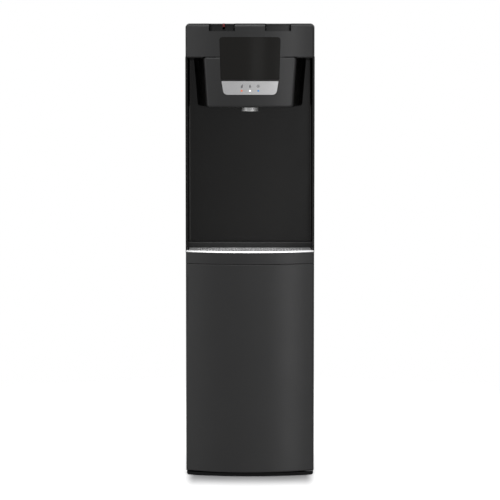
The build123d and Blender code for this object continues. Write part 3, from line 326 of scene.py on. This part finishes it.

# a finish of its own for a node that looks different from the rest of its slot: the nozzle's satin plating,
# and the base's darker, duller black, which is partly painted shade for the shade under the door
NODE_FINISH = {
    "nozzle_ring": plated("nozzle_satin", (0.95, 0.95, 0.945), 0.36, metallic=0.5),
    # painted shade: the base's black plastic is made darker and duller than its slot, to read as the shade
    # it sits in under the door
    "base_pan": moulded("base_shaded_black", (0.006, 0.006, 0.0062), 0.62, specular=0.22),
}

for node_name, cad_object in NODES.items():
    cad_object.data.materials.clear()
    finish = NODE_FINISH.get(node_name) or MATERIALS[SLOT_OF[node_name]]
    cad_object.data.materials.append(finish)


# ------------------------------------------------------------------ mesh helpers
def new_piece(name, mesh, body, slot_name):
    """Link a finished bmesh as a piece that rides on a body and takes a slot's finish."""
    data = bpy.data.meshes.new(name)
    mesh.normal_update()
    mesh.to_mesh(data)
    mesh.free()
    made = bpy.data.objects.new(name, data)
    bpy.context.scene.collection.objects.link(made)
    data.materials.append(MATERIALS[slot_name])
    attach(made, body)
    return made


def node_box(name):
    """Lowest and highest corner of a CAD node at rest, as vectors."""
    return tuple(Vector(corner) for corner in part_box(name))


# ------------------------------------------------------------------ the bowed front
# the trim strip's box gives the strip's heights and length; the crown and half width of the whole CAD box,
# with the rise below, give the arc that every front piece follows
TRIM_LOW, TRIM_HIGH = node_box("trim_strip")
PLATE_TOP = node_box("indicator_plate")[1].z
CROWN = CAD_BOX[0][1]
HALF_WIDTH = CAD_BOX[1][0]
BOW_RISE = 0.034  # how far the crown stands out past the front's two edges
BOW_RADIUS = (HALF_WIDTH**2 + BOW_RISE**2) / (2 * BOW_RISE)


def bow_point(x, inset, z):
    """Point on the bowed front at x, set in from the outside by inset."""
    centre = CROWN + BOW_RADIUS
    return Vector((x, centre - sqrt((BOW_RADIUS - inset) ** 2 - x * x), z))


def sweep_along_bow(profile, half_width, steps):
    """Closed solid that runs along the bow. The profile lists (inset, z) points."""
    mesh = bmesh.new()
    rings = []
    for step in range(steps + 1):
        x = half_width * (2 * step / steps - 1)
        rings.append([mesh.verts.new(bow_point(x, inset, z)) for inset, z in profile])
    for near, far in zip(rings, rings[1:]):
        for k in range(len(profile)):
            after = (k + 1) % len(profile)
            mesh.faces.new((near[k], near[after], far[after], far[k]))
    mesh.faces.new(rings[0])
    mesh.faces.new(reversed(rings[-1]))
    bmesh.ops.recalc_face_normals(mesh, faces=mesh.faces)
    return mesh


def rounded_corner(before, corner, after, radius, steps=4):
    """Points of an arc that replaces one corner of a flat outline."""
    corner = Vector(corner)
    back = (Vector(before) - corner).normalized()
    ahead = (Vector(after) - corner).normalized()
    start = corner + back * radius
    end = corner + ahead * radius
    points = []
    for step in range(steps + 1):
        share = step / steps
        points.append(start * (1 - share) ** 2 + corner * 2 * share * (1 - share) + end * share**2)
    return [tuple(point) for point in points]


# ------------------------------------------------------------------ bright trim in front of the grille
SHARP_ANGLE = radians(32)
TRIM_FOOT = 0.0006  # how far each edge of the sloping face is set in from the outside
TRIM_CREST = 0.0030
TRIM_BACK = 0.0033
TRIM_STEPS = 72


def shade_by_angle(piece):
    """Smooth shading with sharp edges kept where two faces meet at more than the sharp angle."""
    for face in piece.data.polygons:
        face.use_smooth = True
    mesh = bmesh.new()
    mesh.from_mesh(piece.data)
    for edge in mesh.edges:
        edge.smooth = len(edge.link_faces) == 2 and edge.calc_face_angle() < SHARP_ANGLE
    mesh.to_mesh(piece.data)
    mesh.free()


def bright_trim():
    """Chrome strip whose sloping face catches the light from above. It stays inside the CAD strip's box."""
    low = TRIM_LOW.z + 0.0006
    high = TRIM_HIGH.z - 0.0001
    back_high = (TRIM_BACK, high)
    back_low = (TRIM_BACK, low)
    foot = (TRIM_FOOT, low)
    crest = (TRIM_CREST, high)
    outline = [back_high, back_low]
    outline += rounded_corner(back_low, foot, crest, 0.0004)
    outline += rounded_corner(foot, crest, back_high, 0.0001, 2)
    strip = sweep_along_bow(outline, TRIM_HIGH.x - 0.0002, TRIM_STEPS)
    piece = new_piece("bright_trim", strip, "cabinet", "chrome_trim")
    shade_by_angle(piece)
    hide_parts("trim_strip")


bright_trim()


# ------------------------------------------------------------------ printed icons on the indicator plate
ICON_Z = PLATE_TOP - 0.0122
ICON_X = 0.0203  # from the middle icon to either of the others
INK = 0.00002  # the print stands this far off the plate


def print_on_bow(name, loops, centre_x, centre_z):
    """Thin closed print on the bowed plate. Each loop is a flat outline that is filled by one face."""
    mesh = bmesh.new()
    for loop in loops:
        front = [mesh.verts.new(bow_point(centre_x + u, -INK, centre_z + v)) for u, v in loop]
        back = [mesh.verts.new(bow_point(centre_x + u, INK, centre_z + v)) for u, v in loop]
        mesh.faces.new(front)
        mesh.faces.new(reversed(back))
        for k in range(len(loop)):
            after = (k + 1) % len(loop)
            mesh.faces.new((front[k], back[k], back[after], front[after]))
    bmesh.ops.recalc_face_normals(mesh, faces=mesh.faces)
    new_piece(name, mesh, "cabinet", "magnet_grey")


def teardrop(height, width, lean=0.0, steps=28):
    """Drop outline, pointed at the top and round at the foot."""
    points = []
    for step in range(steps):
        turn = 2 * pi * step / steps
        across = width * sin(turn) * sin(turn / 2) + lean * (cos(turn) + 1) ** 2
        points.append((across, height / 2 * cos(turn)))
    return points


def bar(length, thickness, turn):
    """Slim bar from the centre outwards."""
    tip = Vector((cos(turn), sin(turn))) * length
    across = Vector((-sin(turn), cos(turn))) * thickness / 2
    return [tuple(corner) for corner in (-across, tip - across, tip + across, across)]


def snowflake(radius, thickness):
    """Six arms with a small chevron on each."""
    loops = []
    for arm in range(6):
        turn = arm * pi / 3
        loops.append(bar(radius, thickness, turn))
        joint = Vector((cos(turn), sin(turn))) * radius * 0.55
        for side in (-1, 1):
            twig = bar(radius * 0.38, thickness * 0.8, turn + side * pi / 4)
            loops.append([(joint.x + u, joint.y + v) for u, v in twig])
    return loops


print_on_bow("flame_icon", [teardrop(0.0094, 0.0034, 0.0006)], -ICON_X, ICON_Z)
print_on_bow("drop_icon", [teardrop(0.0090, 0.0030)], 0.0, ICON_Z)
print_on_bow("snowflake_icon", snowflake(0.0044, 0.0010), ICON_X, ICON_Z)


# ------------------------------------------------------------------ stage, light and camera
LOW, HIGH = (Vector(corner) for corner in CAD_BOX)
MIDDLE = (LOW + HIGH) / 2
WHITE = (1.0, 1.0, 1.0, 1.0)

FLOOR_REACH = 1.6
FLOOR_SOLID = 0.55  # share of the floor's reach where it starts to fade into the backdrop
FLOOR_DROP = 0.0002  # the floor lies this far under the feet
PAINTED_SHADOW_REACH = 0.165  # width of the painted contact shadow round the base, where the floor's glow dims
PAINTED_SHADOW_SHAPE = (5.0, 1.0, 0.0)  # the painted shadow reaches less far to the sides than to the front
PAINTED_SHADOW_INSET = Vector((0.022, 0.0, 0.0))  # the painted shadow narrows towards the bowed front's ends
FLOOR_GLOW = 0.75  # emission outside the painted contact shadow


def floor_material():
    """Pale floor with a soft contact shadow round the base: a painted shadow, as glow that dims near the
    base, on top of the real shade the floor takes. It fades out towards its rim into the white backdrop.
    """
    base_low, base_high = node_box("base_pan")
    surface = Surface("pale_floor", (0.58, 0.58, 0.585), 0.8, Specular_IOR_Level=0.1, Emission_Color=WHITE)
    surface.tint(surface.noise(3, 3), 0.01)

    def vector_math(operation, source, other=(0, 0, 0)):
        made = surface.node("ShaderNodeVectorMath", operation=operation)
        surface.link(source, made.inputs[0])
        made.inputs[1].default_value = other
        return made.outputs

    # distance from the rectangle that the base covers, for the painted shadow
    centred = vector_math("SUBTRACT", surface.place, (base_low + base_high) / 2)["Vector"]
    core = (base_high - base_low) / 2 - PAINTED_SHADOW_INSET
    outside = vector_math("SUBTRACT", vector_math("ABSOLUTE", centred)["Vector"], core)
    beyond = vector_math("MAXIMUM", outside["Vector"])["Vector"]
    gap = vector_math("LENGTH", vector_math("MULTIPLY", beyond, PAINTED_SHADOW_SHAPE)["Vector"])["Value"]
    # painted shadow: the floor's glow dims towards the base
    glow = surface.remap(gap, 0.0, PAINTED_SHADOW_REACH, 0.0, FLOOR_GLOW, "SMOOTHSTEP")
    surface.link(glow, surface.shader.inputs["Emission Strength"])
    distance = vector_math("LENGTH", surface.place)["Value"]
    share = surface.remap(distance, FLOOR_REACH * FLOOR_SOLID, FLOOR_REACH, 1.0, 0.0)
    surface.link(share, surface.shader.inputs["Alpha"])
    return surface.material


floor_mesh = bmesh.new()
bmesh.ops.create_circle(floor_mesh, cap_ends=True, segments=96, radius=FLOOR_REACH)
floor_data = bpy.data.meshes.new("floor")
floor_mesh.to_mesh(floor_data)
floor_mesh.free()
floor = bpy.data.objects.new("floor", floor_data)
floor.location = (0, 0, LOW.z - FLOOR_DROP)
floor_data.materials.append(floor_material())
bpy.context.scene.collection.objects.link(floor)
# the floor is seen and takes the shadow, and sends no light back up
floor.visible_diffuse = False
floor.visible_glossy = False
floor.visible_shadow = False


SPREAD = radians(120)


def softbox(name, azimuth, elevation, distance, width, height, power):
    """Rectangular light that faces the machine. Azimuth 0 is in front, 90 on the right."""
    data = bpy.data.lights.new(name, "AREA")
    data.shape = "RECTANGLE"
    data.size = width
    data.size_y = height
    data.energy = power
    data.spread = SPREAD
    lamp = bpy.data.objects.new(name, data)
    level = radians(elevation)
    turn = radians(azimuth)
    away = Vector((sin(turn) * cos(level), -cos(turn) * cos(level), sin(level)))
    lamp.location = MIDDLE + away * distance
    lamp.rotation_euler = away.to_track_quat("Z", "Y").to_euler()
    bpy.context.scene.collection.objects.link(lamp)


# name, azimuth and elevation in degrees, distance, width and height in metres, power in watts
SOFTBOXES = (
    ("key_right", 30.5, 3, 2.6, 0.46, 2.6, 4.2),
    ("fill_left", -58, 6, 2.8, 2.2, 2.6, 4.5),
    ("front_right", 5.8, -1, 7.0, 1.2, 1.8, 1.6),
    ("top", 0, 62, 2.6, 3.8, 1.2, 16.5),
    ("rear_left", -140, 40, 3.0, 1.2, 1.6, 8),
    ("rear_right", 140, 40, 3.0, 1.2, 1.6, 8),
)
for settings in SOFTBOXES:
    softbox(*settings)


SURROUND = 0.30  # brightness of the even surround


def studio_world():
    """White where the camera sees it, and a dimmer even surround for the light on the machine."""
    world = bpy.data.worlds.new("studio")
    world.use_nodes = True
    bpy.context.scene.world = world
    tree = world.node_tree
    tree.nodes.clear()
    output = tree.nodes.new("ShaderNodeOutputWorld")
    mix = tree.nodes.new("ShaderNodeMixShader")
    path = tree.nodes.new("ShaderNodeLightPath")
    seen = tree.nodes.new("ShaderNodeBackground")
    seen.inputs["Color"].default_value = WHITE
    seen.inputs["Strength"].default_value = 1.0
    light = tree.nodes.new("ShaderNodeBackground")
    light.inputs["Color"].default_value = WHITE
    light.inputs["Strength"].default_value = SURROUND
    tree.links.new(path.outputs["Is Camera Ray"], mix.inputs["Fac"])
    tree.links.new(light.outputs["Background"], mix.inputs[1])
    tree.links.new(seen.outputs["Background"], mix.inputs[2])
    tree.links.new(mix.outputs["Shader"], output.inputs["Surface"])


studio_world()

CAMERA_DISTANCE = 6.0
CAMERA_ELEVATION = radians(5.0)
FRAME_WIDTH = 1.2384  # metres across the picture at the machine
TARGET_DEPTH = 0.05  # how far behind the crown of the front the camera aims
TARGET_RISE = 0.0004  # how far above mid height it aims
SENSOR = 36.0

camera_data = bpy.data.cameras.new("camera")
camera_data.sensor_width = SENSOR
camera_data.lens = SENSOR * CAMERA_DISTANCE / FRAME_WIDTH
camera_data.clip_end = 60
camera = bpy.data.objects.new("camera", camera_data)
view_line = Vector((0, -cos(CAMERA_ELEVATION), sin(CAMERA_ELEVATION)))
target = Vector((0, LOW.y + TARGET_DEPTH, MIDDLE.z + TARGET_RISE))
camera.location = target + view_line * CAMERA_DISTANCE
camera.rotation_euler = view_line.to_track_quat("Z", "Y").to_euler()
bpy.context.scene.collection.objects.link(camera)
bpy.context.scene.camera = camera
bpy.context.scene.view_settings.view_transform = "Standard"
